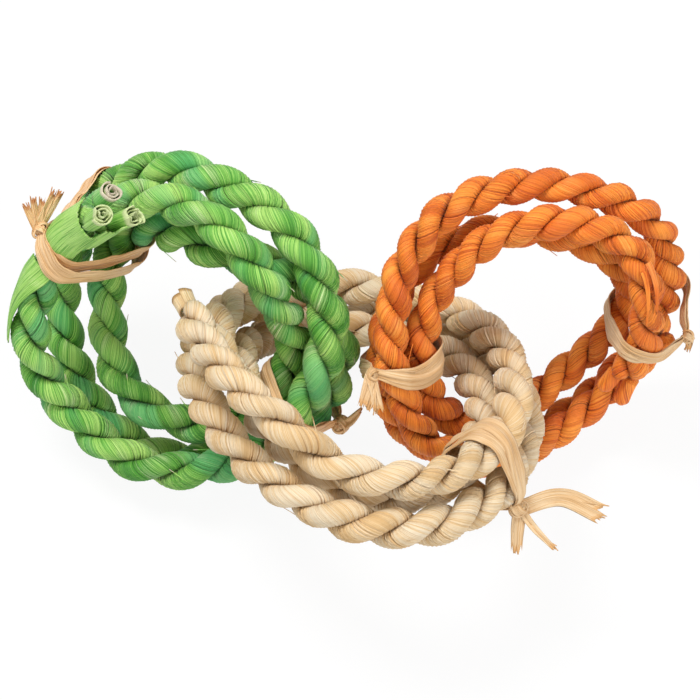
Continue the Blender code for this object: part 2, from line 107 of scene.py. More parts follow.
# Husk strips
TIE_WIDTH = 0.0056
BROAD_TIE = 0.0088
SEAT = 0.0003
STRIP_THICK = 0.0004
STRIP_FOLD = 0.0003      # how high a strip's lengthways pleats stand
PLEATS = (1.5, 2.5, 4.0, 7.0)    # waves across a strip
KNOT_LENGTH = 0.0072
KNOT_HEIGHT = 0.0044
KNOT_LUMP = (0.36, 0.42, 0.42)   # half a knot's lump: shares of its length, the strip's width and its height
WRAP_LAYER = 0.0005      # the second wrap lies this much over the first
GREEN_ROLL = 0.0062
CREAM_ROLL = 0.0072
PLY_END = 0.0048
ROLL_PITCH = 0.00085     # between the turns of a rolled husk
ROLL_RAG = 0.12
ROLL_WAVE = 0.05
ROLL_FLARE = 0.1
TAIL_FIBRES = 3          # torn off at a loose end
TORN_WIDTHS = (0.0007, 0.0005, 0.0003)
STRIP_CUT = 0.0035       # a strip's end is coloured as a cut over this length
LEAF_CUT = 0.0016
LEAF_TEAR = 0.004
LEAF_RIDGE = 0.00022
LEAF_ROWS = 30
TABLE_CLEAR = 0.00004
BULGE = 0.22             # share of the gap under a strip that it stands proud of a straight run
DRAWN_BACK = 0.7         # share of the gap that it is pressed in behind the bundle
BACK_FROM = 0.68         # where the back begins, as a share of the way round
BACK_EASE = 0.08
GATHER = 0.011           # a strip is drawn in narrow over this length at its knot

# Noise in the husk: cells per metre, twice across the fibres and once along them
VEIN = (2900, 2900, 60)
HAIR = (4400, 4400, 80)
LEAF = (70, 70, 34)
FLECK = (60, 60, 75)
STREAK = (800, 800, 16)
BLOTCH = (330, 330, 210)
PATCH = (35, 35, 26)

# Table, lights and camera
TABLE_GLOW = 0.91        # share of the table that is seen as plain white
SKY_STRENGTH = 0.56
LAMPS = (("key_light", (-0.35, 0.3, 1.0), 0.35, 8.5), ("fill_light", (0.7, -0.6, 0.8), 0.8, 7))
LIT_HEIGHT = 0.04
CAMERA_AIM = (-0.00307, 0.00746, 0.0111)     # from the cream ring's middle
CAMERA_RISE = 63
CAMERA_AWAY = 0.9
CAMERA_ANGLE = 12.87
SENSOR = 36


def smooth(x):
    x = np.clip(x, 0, 1)
    return x * x * (3 - 2 * x)


def unit(v):
    return v / np.maximum(np.linalg.norm(v, axis=-1, keepdims=True), 1e-12)


def dot(a, b):
    return (a * b).sum(-1, keepdims=True)


def wander(x, spacing, rng):
    """Smooth random swings between -1 and 1 along x."""
    x = np.asarray(x) / spacing
    knots = rng.uniform(-1, 1, int(x.max()) + 3)
    i = x.astype(int)
    share = smooth(x - i)
    return knots[i] * (1 - share) + knots[i + 1] * share


def lengths(line):
    """How far along a line each of its points is."""
    return np.concatenate([[0], np.cumsum(np.linalg.norm(np.diff(line, axis=0), axis=1))])


def even(line, count):
    """The same line with points at even spacing."""
    run = lengths(line)
    at = np.linspace(0, run[-1], count)
    return np.stack([np.interp(at, run, line[:, k]) for k in range(3)], -1)


def bow(points, count=24):
    """A smooth line through a few points."""
    points = np.asarray(points, float)
    ends = np.vstack([2 * points[0] - points[1], points, 2 * points[-1] - points[-2]])
    line = []
    for a, b, c, d in zip(ends, ends[1:], ends[2:], ends[3:]):
        for f in np.linspace(0, 1, 12, endpoint=False):
            line.append(0.5 * (2 * b + (c - a) * f + (2 * a - 5 * b + 4 * c - d) * f ** 2
                               + (3 * b - a - 3 * c + d) * f ** 3))
    return even(np.array(line + [points[-1]]), count)


def bundle_radius(rope):
    return (rope + ROPE_GAP) / sqrt(3) + rope / 2


@dataclass
class Coil:
    """A rope's winding, the same as the solid's. Angles in degrees, places along the rope in turns."""
    rope: float
    half_x: float
    half_y: float
    spin: float
    saddle: float
    saddle_at: float
    place: float
    step: int
    step_at: float
    step_span: float
    spread: float
    lift: float
    drawn: tuple
    first: float
    start: float
    steps: int
    climb_turn: float
    climb: float
    climb_span: float

    def __post_init__(self):
        self.end = self.start + self.steps / LOOP_POINTS
        self.turn = pi * (self.half_x + self.half_y)
        self.run = self.rope / self.turn
        self.tip = self.end + self.run
        self.root = self.start - self.run

    def middle(self, angle):
        a = np.radians(angle)
        x, y = self.half_x * np.cos(a), self.half_y * np.sin(a)
        s = radians(self.spin)
        z = self.saddle * np.cos(2 * (a - radians(self.saddle_at)))
        return np.stack([x * cos(s) - y * sin(s), x * sin(s) + y * cos(s), z], -1)

    def frame(self, angle):
        """The bundle's middle, its clockwise direction, and the outward and upward directions across it."""
        angle = np.asarray(angle, float)
        point = self.middle(angle)
        along = unit(self.middle(angle - 0.5) - self.middle(angle + 0.5))
        outward = unit(np.cross(along, (0, 0, 1)))
        outward = np.where(dot(outward, point) < 0, -outward, outward)
        up = unit(np.cross(outward, along))
        return point, along, outward, np.where(up[..., 2:] < 0, -up, up)

    def wound(self, t):
        angle = self.first - 360 * t
        point, _, outward, up = self.frame(angle)
        share = np.ones_like(t)
        for at, hold, ease in self.drawn:
            away = np.abs((angle - at + 180) % 360 - 180)
            share = np.minimum(share, smooth((away - hold) / ease))
        q = t - self.step_at + 0.5
        places = np.floor(q) + smooth((q - np.floor(q) - 0.5) / self.step_span + 0.5)
        climb = smooth((t - self.climb) / self.climb_span + 1)
        lean = cos(radians(self.climb_turn))
        clear = (lean + sqrt(lean ** 2 + 2)) * CLIMB_ROOM
        a = np.radians(self.place + self.step * 120 * places + self.climb_turn * climb)
        reach = (self.rope + ROPE_GAP) / sqrt(3) * (1 + (clear - 1) * climb)
        across = np.cos(a) * reach * (1 + (self.spread - 1) * share)
        rise = np.sin(a) * reach * (1 + (self.lift - 1) * share)
        return point + outward * across[..., None] + up * rise[..., None]

    def outward(self, t):
        """From the bundle's middle to the rope."""
        point, along, _, _ = self.frame(self.first - 360 * t)
        way = self.wound(t) - point
        return unit(way - along * dot(way, along))

    def centre(self, t):
        """The rope's middle, with both ends running straight."""
        t = np.asarray(t, float)
        bent = np.clip(t, self.start, self.end)
        ahead = unit(self.wound(bent + 0.001) - self.wound(bent - 0.001))
        past = ((t - bent) * self.turn)[..., None]
        return self.wound(bent) + ahead * past + self.outward(bent) * np.abs(past) * END_TILT

    def passes(self, angle):
        t = ((self.first - angle) / 360) % 1
        return [t + k for k in range(-1, 5) if self.root - self.run <= t + k <= self.tip + self.run]

    def tip_axes(self):
        """The middle of the outer end, and the directions ahead, away from the bundle and across."""
        ends = self.centre([self.end, self.tip])
        ahead = unit(ends[1] - ends[0])
        out = self.outward(np.array(self.end))
        out = unit(out - ahead * dot(out, ahead))
        return ends[1], ahead, out, np.cross(ahead, out)


CREAM_HALF = CREAM_PLAY + sum(bundle_radius(rope) for rope in (CREAM_ROPE, GREEN_ROPE, ORANGE_ROPE))
GREEN = Coil(
    rope=GREEN_ROPE, half_x=GREEN_HALF, half_y=GREEN_HALF + GREEN_WIDEN, spin=-24,
    saddle=-0.006, saddle_at=17, place=72, step=1, step_at=0.32, step_span=0.3, spread=1.45, lift=1.0,
    drawn=((15, 45, 45), (182, 8, 38)), first=180, start=-0.02, steps=74,
    climb_turn=14, climb=2.88, climb_span=0.14)
CREAM = Coil(
    rope=CREAM_ROPE, half_x=CREAM_HALF, half_y=CREAM_HALF + CREAM_WIDEN, spin=30,
    saddle=0.004, saddle_at=-10, place=82, step=1, step_at=0.21, step_span=0.3, spread=1.0, lift=1.1,
    drawn=((0, 40, 40), (180, 40, 40)), first=180, start=0.005, steps=72,
    climb_turn=-18, climb=2.945, climb_span=0.1)
ORANGE = Coil(
    rope=ORANGE_ROPE, half_x=ORANGE_HALF + ORANGE_WIDEN, half_y=ORANGE_HALF, spin=33,
    saddle=0.006, saddle_at=0, place=83, step=-1, step_at=0.56, step_span=0.4, spread=1.3, lift=1.0,
    drawn=((170, 45, 45), (-44, 5, 38)), first=-50, start=0.03, steps=71,
    climb_turn=36, climb=2.93, climb_span=0.14)


class Ring:
    """A coil where it lies in the toy."""

    def __init__(self, name, coil, lean, heading, place, link=None):
        self.name, self.coil, self.body = name, coil, f"{name}_ring"
        self.turned = np.array(Euler((radians(lean), 0, radians(heading))).to_matrix())
        self.shift = np.array(place, float)
        if link is not None:
            self.shift = self.shift - self.turned @ coil.middle(link)

    def world(self, points):
        return np.asarray(points) @ self.turned.T + self.shift


swing = {joint["child"]: np.array(joint["pos_m"]) for joint in frame["joints"]}
cream_place = swing["green_ring"] - (STRAND_NEST - bundle_radius(GREEN_ROPE), GREEN_LINK_BACK, GREEN_LINK_UP)
green_ring = Ring("green", GREEN, 56, -28, swing["green_ring"], GREEN_LINK)
cream_ring = Ring("cream", CREAM, -32, -12, cream_place)
orange_ring = Ring("orange", ORANGE, 63, 18, swing["orange_ring"], ORANGE_LINK)


class Shade:
    """One output of a shader node. Arithmetic on it adds Math nodes."""

    def __init__(self, finish, socket):
        self.finish, self.socket = finish, socket

    def math(self, operation, *values):
        return self.finish.node("Math", {"operation": operation}, dict(enumerate(values)))

    def __add__(self, other):
        return self.math("ADD", self, other)

    def __sub__(self, other):
        return self.math("SUBTRACT", self, other)

    def __rsub__(self, other):
        return self.math("SUBTRACT", other, self)

    def __mul__(self, other):
        return self.math("MULTIPLY", self, other)

    def capped(self):
        return self.math("MINIMUM", self, 1.0)

    def step(self, low, high):
        """0 below low, 1 above high, eased between."""
        return self.finish.node("MapRange", {"interpolation_type": "SMOOTHSTEP"}, {0: self, 1: low, 2: high})

    __radd__ = __add__


class Finish:
    """A material put together from nodes."""

    def __init__(self, name):
        self.material = bpy.data.materials.new(name)
        self.material.use_nodes = True
        self.tree = self.material.node_tree
        self.shader = self.tree.nodes["Principled BSDF"]

    def node(self, kind, settings=None, sockets=None, output=0):
        made = self.tree.nodes.new("ShaderNode" + kind)
        for name, value in (settings or {}).items():
            if name == "stops":
                elements = made.color_ramp.elements
                while len(elements) < len(value):
                    elements.new(1)
                for element, (at, colour) in zip(elements, value):
                    element.position, element.color = at, colour
            else:
                setattr(made, name, value)
        for name, value in (sockets or {}).items():
            self.link(made.inputs[name], value)
        return Shade(self, made.outputs[output])

    def link(self, socket, value):
        if isinstance(value, Shade):
            self.tree.links.new(value.socket, socket)
        else:
            socket.default_value = value

    def feed(self, **values):
        """Set the shader's sockets, spaces in their names written as _."""
        for name, value in values.items():
            self.link(self.shader.inputs[name.replace("_", " ")], value)

    def mixed(self, share, first, second):
        return self.node("Mix", {"data_type": "RGBA"}, {0: share, 6: first, 7: second}, output=2)

    def noise(self, place, cells, detail=2.0):
        scaled = self.node("VectorMath", {"operation": "MULTIPLY"}, {0: place, 1: cells})
        return self.node("TexNoise", None, {"Vector": scaled, "Scale": 1.0, "Detail": detail})


def seen(red, green, blue):
    """A colour as it is seen, 0 to 255, in the shader's own terms."""
    linear = [c / 255 / 12.92 if c < 11 else ((c / 255 + 0.055) / 1.055) ** 2.4 for c in (red, green, blue)]
    return (*linear, 1.0)


def husk(name, painted_shade_colour, dark, middle, light, pale, roughness, pale_share=0.62, stain=None, cut=None, cool=None):
    """Dry husk: fine veins along the fibres, broad paler and darker leaves, painted shade in creases and
    between plies, and a dull sheen.

    Some husks also have brown stains, another colour at a cut, and leaves of a cooler colour.
    """
    finish = Finish(name)
    fibre = finish.node("Attribute", {"attribute_name": "fibre"}, output=1)
    crease = finish.node("Attribute", {"attribute_name": "crease"}, output=2)
    worn = finish.node("Attribute", {"attribute_name": "cut"}, output=2)
    vein = finish.noise(fibre, VEIN, 1.0)
    hair = finish.noise(fibre, HAIR, 3.0)
    leaf = finish.noise(fibre, LEAF, 1.0)
    fleck = finish.noise(fibre, FLECK)
    streak = finish.noise(fibre, STREAK)
    blotch = finish.noise(fibre, BLOTCH, 3.0)
    tone = leaf * 1.4 + vein * 0.95 + hair * 1.15 + blotch * 0.4 - 1.45
    colour = finish.node(
        "ValToRGB", {"stops": ((0.2, dark), (0.46, middle), (0.74, light))}, {"Fac": tone})
    if cool:
        patch = finish.noise(fibre, PATCH, 1.0)
        colour = finish.mixed(patch.step(0.5, 0.64) * 0.7, colour, cool)
    faded = fleck.step(0.55, 0.68) * vein.step(0.35, 0.6)
    worn_pale = streak.step(pale_share, pale_share + 0.16) * 0.4 + faded * 0.65
    colour = finish.mixed(worn_pale * hair.step(0.3, 0.7), colour, pale)
    line = (1 - vein.step(0.3, 0.46)) * 0.75 + (1 - hair.step(0.3, 0.44)) * 0.4
    if stain:
        spot = blotch.step(0.66, 0.74) * leaf.step(0.5, 0.62) * 0.5
        colour = finish.mixed(spot, colour, stain)
    colour = finish.mixed(line, colour, dark)
    # Painted shade: the husk darkens toward its shade colour in creases, folds, pleats and where the plies
    # turn in to each other.
    colour = finish.mixed(crease.step(0.12, 1.0) * 0.85, colour, painted_shade_colour)
    if cut:
        colour = finish.mixed(worn.step(0.35, 0.9) * 0.9, colour, cut)
    height = vein * 0.9 + hair * 0.55 + streak * 0.5
    bump = finish.node("Bump", None, {"Strength": 0.75, "Distance": 0.0005, "Height": height})
    finish.feed(Base_Color=colour, Roughness=roughness + hair * 0.3 - vein * 0.14, Normal=bump)
    finish.feed(Specular_IOR_Level=0.35, Sheen_Weight=0.08, Sheen_Roughness=0.4)
    return finish.material


# Each husk's first colour is its painted shade colour, laid into creases, folds and between the plies.
GREEN_HUSK = husk(
    "green_husk", seen(10, 42, 4), seen(62, 136, 41), seen(114, 184, 73), seen(180, 223, 117),
    seen(228, 230, 194), 0.44, stain=seen(128, 118, 56), cut=seen(214, 196, 178), cool=seen(84, 178, 114))
GREEN_LEAF = husk(
    "green_leaf", seen(48, 92, 24), seen(92, 158, 52), seen(148, 200, 92), seen(170, 214, 112),
    seen(208, 228, 158), 0.42, cut=seen(204, 214, 158))
CREAM_HUSK = husk(
    "cream_husk", seen(156, 110, 60), seen(213, 174, 120), seen(228, 198, 152), seen(233, 215, 185),
    seen(236, 225, 205), 0.5, stain=seen(222, 172, 112), cut=seen(176, 132, 82))
ORANGE_HUSK = husk(
    "orange_husk", seen(92, 26, 3), seen(198, 86, 20), seen(242, 129, 36), seen(254, 158, 60),
    seen(254, 190, 106), 0.46, pale_share=0.66, cool=seen(226, 112, 36))
TAN_HUSK = husk(
    "tan_husk", seen(104, 60, 28), seen(197, 145, 90), seen(229, 183, 128), seen(239, 202, 154),
    seen(244, 218, 180), 0.4, cut=seen(192, 126, 74))
PALE_HUSK = husk(
    "pale_husk", seen(122, 80, 40), seen(204, 160, 107), seen(216, 178, 131), seen(226, 196, 154),
    seen(234, 214, 180), 0.42, cut=seen(212, 162, 104))


class Piece:
    """Shapes gathered into one object, with each point's place in its husk, its painted shade and nearness to
    a cut.
    """

    def __init__(self, ring):
        self.ring = ring
        self.points, self.faces, self.fibre, self.crease, self.cut = [], [], [], [], []
        self.count = 0

    def sections(self, points, fibre, crease, cut, flat_ends):
        """Closed sections joined in order. Flat ones close at their ends by strips, round ones by fans."""
        rows, sides = points.shape[:2]
        index = self.count + np.arange(rows * sides).reshape(rows, sides)
        after = np.roll(index, -1, axis=1)
        quads = np.stack([index[:-1], after[:-1], after[1:], index[1:]], -1).reshape(-1, 4)
        self.faces += quads.tolist()
        self.points.append(points.reshape(-1, 3))
        self.fibre.append(fibre.reshape(-1, 3))
        self.crease.append(np.broadcast_to(crease, (rows, sides)).ravel())
        self.cut.append(np.broadcast_to(cut, (rows, sides)).ravel())
        self.count += rows * sides
        if flat_ends:
            for row in (index[0][::-1], index[-1]):
                for i in range(sides // 2 - 1):
                    self.faces.append([row[i], row[i + 1], row[sides - 2 - i], row[sides - 1 - i]])
        else:
            for k in (0, -1):
                row = index[k] if k else index[k][::-1]
                self.points.append(points[k].mean(0)[None])
                self.fibre.append(fibre[k].mean(0)[None])
                self.crease.append([0.0])
                self.cut.append([1.0])
                self.faces += [[row[i], row[(i + 1) % sides], self.count] for i in range(sides)]
                self.count += 1

    def make(self, name, finish, slot, node):
        places = self.ring.world(np.concatenate(self.points))
        places[:, 2] = np.maximum(places[:, 2], TABLE_CLEAR)
        mesh = bpy.data.meshes.new(name)
        mesh.from_pydata(places.tolist(), [], self.faces)
        body = bmesh.new()
        body.from_mesh(mesh)
        bmesh.ops.recalc_face_normals(body, faces=body.faces)
        body.to_mesh(mesh)
        body.free()
        mesh.shade_smooth()
        fibre = mesh.attributes.new("fibre", "FLOAT_VECTOR", "POINT")
        fibre.data.foreach_set("vector", np.concatenate(self.fibre).astype(np.float32).ravel())
        for label, values in (("crease", self.crease), ("cut", self.cut)):
            kept = mesh.attributes.new(label, "FLOAT", "POINT")
            kept.data.foreach_set("value", np.concatenate(values).astype(np.float32))
        mesh.materials.append(finish)
        made = bpy.data.objects.new(name, mesh)
        bpy.context.scene.collection.objects.link(made)
        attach(made, self.ring.body)
        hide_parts(node)


def carried(along):
    """Two directions across a line that follow it without twisting."""
    across = unit(np.cross(along[0], (0.2, 0.5, 0.84)))
    first = []
    for way in along:
        across = unit(across - way * dot(across, way))
        first.append(across)
    first = np.array(first)
    return first, np.cross(along, first)


def both_faces(values):
    """Values for a strip's front, then for its back in reverse."""
    return np.concatenate([values, values[:, ::-1]], 1)


def ply(piece, line, rope, lay, phase, sway, seed):
    """One twisted husk ply of a rope, laid left-handed round the rope's line. The lay sways along the rope.

    The mesh's columns follow the husk's fibres, which run back round the ply, so each fold is a column's.
    """
    rng = np.random.default_rng(seed)
    run = lengths(line)
    along = unit(np.gradient(line, axis=0))
    first, second = carried(along)
    offset, thick, wide = PLY_OFFSET * rope, PLY_THICK * rope, PLY_WIDE * rope
    turn = phase - 2 * pi * run / lay + sway
    out = first * np.cos(turn)[:, None] + second * np.sin(turn)[:, None]
    middle = line + out * (offset * (1 + LOOSENESS * wander(run, 0.017, rng)))[:, None]
    ahead = unit(np.gradient(middle, axis=0))
    out = unit(out - ahead * dot(out, ahead))
    side = np.cross(ahead, out)
    own = lengths(middle)
    columns = np.linspace(0, 2 * pi, PLY_SIDES, endpoint=False)
    around = columns + ((own + FIBRE_WANDER * wander(own, 0.025, rng)) / wide * FIBRE_SLOPE)[:, None]
    swell = SWELL * wander(own, 0.012, rng) + SWELL * wander(own, 0.04, rng)
    level = 1 + swell[:, None] * np.ones(PLY_SIDES)
    crease = np.zeros_like(level)
    for _ in range(FOLDS):
        at = rng.uniform(0, 2 * pi) + 0.35 * wander(own, 0.05, rng)
        width = rng.uniform(0.09, 0.16)
        depth = np.clip(wander(own, 0.014, rng), 0, 1)[:, None]
        away = (columns - at[:, None] + pi) % (2 * pi) - pi
        valley = depth * np.exp(-(away / width) ** 2)
        lip = depth * np.exp(-((away - 1.9 * width) / width) ** 2)
        level += FOLD_LIP * lip - FOLD_DEPTH * valley
        # painted shade in each fold's valley
        crease = np.maximum(crease, valley)
    wrinkle = np.stack([wander(own, 0.009, rng) for _ in columns], 1)
    level += WRINKLE * wrinkle
    # painted shade in the wrinkles' hollows
    crease = np.maximum(crease, 0.4 * np.clip(-wrinkle - 0.3, 0, 1))
    ease = np.clip(np.minimum(own, own[-1] - own) / thick, 0.0004, 1)
    level *= np.sqrt(1 - (1 - ease) ** 2)[:, None]
    x = np.maximum(thick * level * np.cos(around), -0.97 * offset)
    y = wide * level * np.sin(around)
    points = middle[:, None] + out[:, None] * x[..., None] + side[:, None] * y[..., None]
    fibre = np.stack([np.broadcast_to(wide * np.cos(columns), level.shape),
                      np.broadcast_to(wide * np.sin(columns), level.shape),
                      np.broadcast_to(own[:, None], level.shape) + seed * 1.7], -1)
    # painted shade on each ply's side that turns in to the other ply, where the plies shade each other
    tucked = TUCKED_SHADE * smooth((-np.cos(around) - 0.02) / 0.6)
    piece.sections(points, fibre, np.clip(crease * 0.8 + tucked, 0, 1), 0.0, flat_ends=False)
    for k in range(LOOSE_FIBRES):
        row = rng.integers(60, len(own) - 60)
        column = np.argmin(np.abs((around[row] + rng.uniform(-0.9, 0.9) + pi) % (2 * pi) - pi))
        rise = unit(points[row, column] - middle[row])
        way = unit(points[row + 1, column] - points[row, column])
        root, reach = points[row, column] - rise * 0.0002, rng.uniform(0.004, 0.008)
        tip = root + way * reach + rise * rng.uniform(0.0006, 0.0012)
        bent = bow([root, root + way * (reach * 0.5) + rise * 0.0003, tip])
        ribbon(piece, bent, rise, LOOSE_WIDTHS, seed + 60 + k, thick=0.0002, fold=0.0, columns=3)


def twisted_rope(ring, finish, slot, seed, lay, phase):
    """Both plies of a ring's rope."""
    coil = ring.coil
    turns = np.linspace(coil.root, coil.tip, ROUTE_POINTS)
    line = coil.centre(turns)
    line = even(line, int(lengths(line)[-1] / PLY_STEP))
    sway = LAY_SWAY * wander(lengths(line), 0.04, np.random.default_rng(seed + 2))
    piece = Piece(ring)
    ply(piece, line, coil.rope, lay, phase, sway, seed)
    ply(piece, line, coil.rope, lay, phase + pi, sway, seed + 1)
    piece.make(f"{ring.name}_rope_plies", finish, slot, f"{ring.name}_rope")


def ribbon(piece, line, normal, width, seed, thick=STRIP_THICK, fold=STRIP_FOLD, cup=0.0, fray=0.0,
           columns=11):
    """A husk strip along a line, pleated lengthways, its end torn by fray. Widths go from end to end."""
    rng = np.random.default_rng(seed)
    line = np.asarray(line, float)
    rows = len(line)
    along = unit(np.gradient(line, axis=0))
    side = unit(np.cross(along, np.broadcast_to(normal, line.shape)))
    face = np.cross(side, along)
    run = lengths(line)
    width = np.interp(np.linspace(0, 1, rows), np.linspace(0, 1, np.size(width)), np.ravel(width))
    v = np.linspace(-1, 1, columns)
    pleat = np.zeros((rows, columns))
    for k in PLEATS:
        swing_along = (0.75 + 0.5 * wander(run, 0.011, rng))[:, None]
        phase = rng.uniform(0, 2 * pi) + 0.7 * wander(run, 0.016, rng)[:, None]
        pleat += swing_along * np.cos(pi * k * v + phase) / k
    crumple = wander(run, 0.006, rng)[:, None] * v + wander(run, 0.004, rng)[:, None] * v ** 2
    lift = fold * (pleat + crumple) + cup * (width / 2)[:, None] * v ** 2
    edge = 1 + 0.05 * wander(run, 0.004, rng)
    torn = smooth((run - run[-1] + 2.2 * fray) / (2.2 * fray))[:, None] if fray else np.zeros((rows, 1))
    tear = fray * rng.uniform(-0.9, 0.9, columns) * torn
    spot = line[:, None] + side[:, None] * ((width * edge / 2)[:, None] * v)[..., None]
    spot = spot + along[:, None] * tear[..., None] + face[:, None] * lift[..., None]
    half = face[:, None] * (thick / 2 * (1 - 0.45 * v ** 4))[:, None]
    points = np.concatenate([spot + half, (spot - half)[:, ::-1]], 1)
    across = np.broadcast_to((width / 2)[:, None] * v, (rows, columns))
    ahead = np.broadcast_to(run[:, None], across.shape)
    flat = np.stack([across + seed * 0.013, 0 * across, ahead + seed * 0.31], -1)
    # painted shade in the pleats' valleys and along both edges of the strip
    crease = np.clip(-pleat * 0.55 - 0.1, 0, 1) + 0.25 * v ** 8
    near = smooth((run - run[-1] + STRIP_CUT) / STRIP_CUT)[:, None] * np.ones(columns)
    crease = both_faces(np.clip(crease, 0, 1))
    piece.sections(points, both_faces(flat), crease, both_faces(near), flat_ends=True)


class Tie:
    """A husk strip wrapped twice round a ring's bundle of turns, knotted, with loose ends.

    Its wraps cross at the knot, and each slants along the bundle by so many degrees away from there.
    """

    def __init__(self, ring, angle, width, slants, knot_at, seed, sag=0.0):
        self.ring, self.angle, self.width, self.knot_at, self.seed = ring, angle, width, knot_at, seed
        self.slants, self.sag = slants, sag
        self.piece = Piece(ring)
        self.point, self.along, self.outward, self.up = ring.coil.frame(angle)
        self.out = self.outward * cos(radians(knot_at)) + self.up * sin(radians(knot_at))
        self.around = unit(np.cross(self.along, self.out))
        self.knot_reach = 0.0
        self.knot_reach = (self.outline(0.001, 0)[0] @ self.out).max()

    def lean(self, slant, places):
        """How far along the bundle a wrap has slanted at places across it."""
        return (self.knot_reach - places @ self.out) * tan(radians(slant))

    def outline(self, beyond, slant, count=110):
        """Round the bundle from the knot and back, tight over its ropes, with the outward directions."""
        coil = self.ring.coil
        half_length = self.width / 2 + coil.rope * abs(tan(radians(slant)))
        spots = np.add.outer(coil.passes(self.angle), np.linspace(-0.12, 0.12, 61)).ravel()
        middles = coil.centre(np.clip(spots, coil.root, coil.tip)) - self.point
        middles = middles[np.abs(middles @ self.along - self.lean(slant, middles)) < half_length]
        flat = np.stack([middles @ self.outward, middles @ self.up], -1)
        a = np.radians(self.knot_at) + np.linspace(0, 2 * pi, 361)
        ways = np.stack([np.cos(a), np.sin(a)], -1)
        near = flat[np.argmax(ways @ flat.T, axis=1)]
        line = near + ways * (coil.rope / 2 + SEAT + beyond)
        line = even(np.column_stack([line, np.zeros(len(line))]), count)[:, :2]
        gap = np.linalg.norm(line[:, None] - flat, axis=-1).min(1) - coil.rope / 2 - SEAT - beyond
        eased = np.convolve(np.concatenate([gap[-8:], gap, gap[:8]]), np.ones(17) / 17, "valid")
        back = smooth((np.linspace(0, 1, count) - BACK_FROM) / BACK_EASE)
        stand = BULGE * (1 - back) * eased - DRAWN_BACK * back * np.minimum(gap, eased)
        ahead = unit(np.gradient(line, axis=0))
        line = line + np.stack([ahead[:, 1], -ahead[:, 0]], -1) * stand[:, None]
        ahead = unit(np.gradient(line, axis=0))
        across = np.stack([self.outward, self.up])
        return line @ across, np.stack([ahead[:, 1], -ahead[:, 0]], -1) @ across

    def wrap(self, slant, layer):
        line, normal = self.outline(SEAT + WRAP_LAYER * layer, slant)
        route = self.point + line + np.outer(self.lean(slant, line) + layer * 0.0003, self.along)
        run = lengths(route)
        share = pi * run / run[-1]
        route = route + np.outer(self.sag * (np.sin(share) ** 2 - 1.4 * np.sin(2 * share) ** 2), self.along)
        drawn_in = 0.5 + 0.5 * smooth(np.minimum(run, run[-1] - run) / GATHER)
        ribbon(self.piece, route, normal, self.width * drawn_in, self.seed + layer, cup=-0.06, columns=25)

    def seat(self):
        line, _ = self.outline(STRIP_THICK, self.slants[0])
        return self.point + line[0]

    def knot(self, size):
        """A small lump of folded strip with two turns of the strip drawn over it."""
        half = np.array((KNOT_LENGTH, self.width, KNOT_HEIGHT)) * KNOT_LUMP * size
        middle = self.seat() + self.out * (half[2] * 0.8)
        rise = np.linspace(-1, 1, 22)[1:-1]
        around = np.linspace(0, 2 * pi, 40, endpoint=False)
        up = rise[:, None]
        fold = 1 + 0.1 * np.cos(5 * around + 3 * up) + 0.07 * np.cos(9 * around - 5 * up + 1)
        level = np.sqrt(1 - up ** 2) * fold
        x, y = level * np.cos(around) * half[1], level * np.sin(around) * half[2]
        z = np.broadcast_to(up * half[0], x.shape)
        spot = middle + x[..., None] * self.along + y[..., None] * self.out + z[..., None] * self.around
        fibre = np.stack([half[1] * np.cos(around) * np.ones_like(x), y, z + self.seed], -1)
        # painted shade in the hollows between the knot's folds
        self.piece.sections(spot, fibre, np.clip(1.1 - fold, 0, 1) * 2.5, 0.0, flat_ends=False)
        for k, lean in enumerate((0.5, -0.7)):
            a = np.linspace(-0.35 * pi, 1.35 * pi, 34)
            way = unit(self.along + self.around * lean)
            ring = middle + np.outer(np.cos(a) * (half[1] * 1.1 + 0.0002 * k), way)
            ring = ring + np.outer(np.sin(a) * (half[2] * 1.15 + 0.0002 * k), self.out)
            normal = np.outer(np.cos(a), way) + np.outer(np.sin(a), self.out)
            ribbon(self.piece, ring, normal, 0.003 * size, self.seed + 20 + k, fold=0.00035, columns=13)

    def tail(self, route, widths, broad, seed, fray=0.0012):
        """A loose end. Its route and its broad side are out from, round and along the bundle."""
        axes = np.stack([self.out, self.around, self.along])
        middle = self.seat() + self.out * (KNOT_HEIGHT * 0.4)
        line = bow(middle + np.vstack([(0, 0, 0), np.array(route)]) @ axes)
        broad = np.array(broad) @ axes
        ribbon(self.piece, line, broad, widths, seed, fray=fray, cup=0.1)
        rng = np.random.default_rng(seed)
        side = unit(np.cross(line[-1] - line[-6], broad))
        for k in range(TAIL_FIBRES):
            start = line[rng.integers(8, 17)] + side * (widths[-1] * rng.uniform(-0.4, 0.4))
            tip = line[-1] + side * (widths[-1] * rng.uniform(-0.9, 0.9))
            tip = tip + unit(broad) * rng.uniform(-0.0006, 0.0006)
            tip = tip + (line[-1] - line[-6]) * rng.uniform(0.1, 0.5)
            torn = bow([start, (start + tip) / 2 + side * rng.uniform(-0.0003, 0.0003), tip])
            ribbon(self.piece, torn, broad, TORN_WIDTHS, seed + 40 + k, thick=0.00025, fold=0.0, columns=4)

    def make(self, name, finish, slot, node, knot=1.0):
        for layer, slant in enumerate(self.slants):
            self.wrap(slant, layer)
        self.knot(knot)
        self.piece.make(name, finish, slot, node)


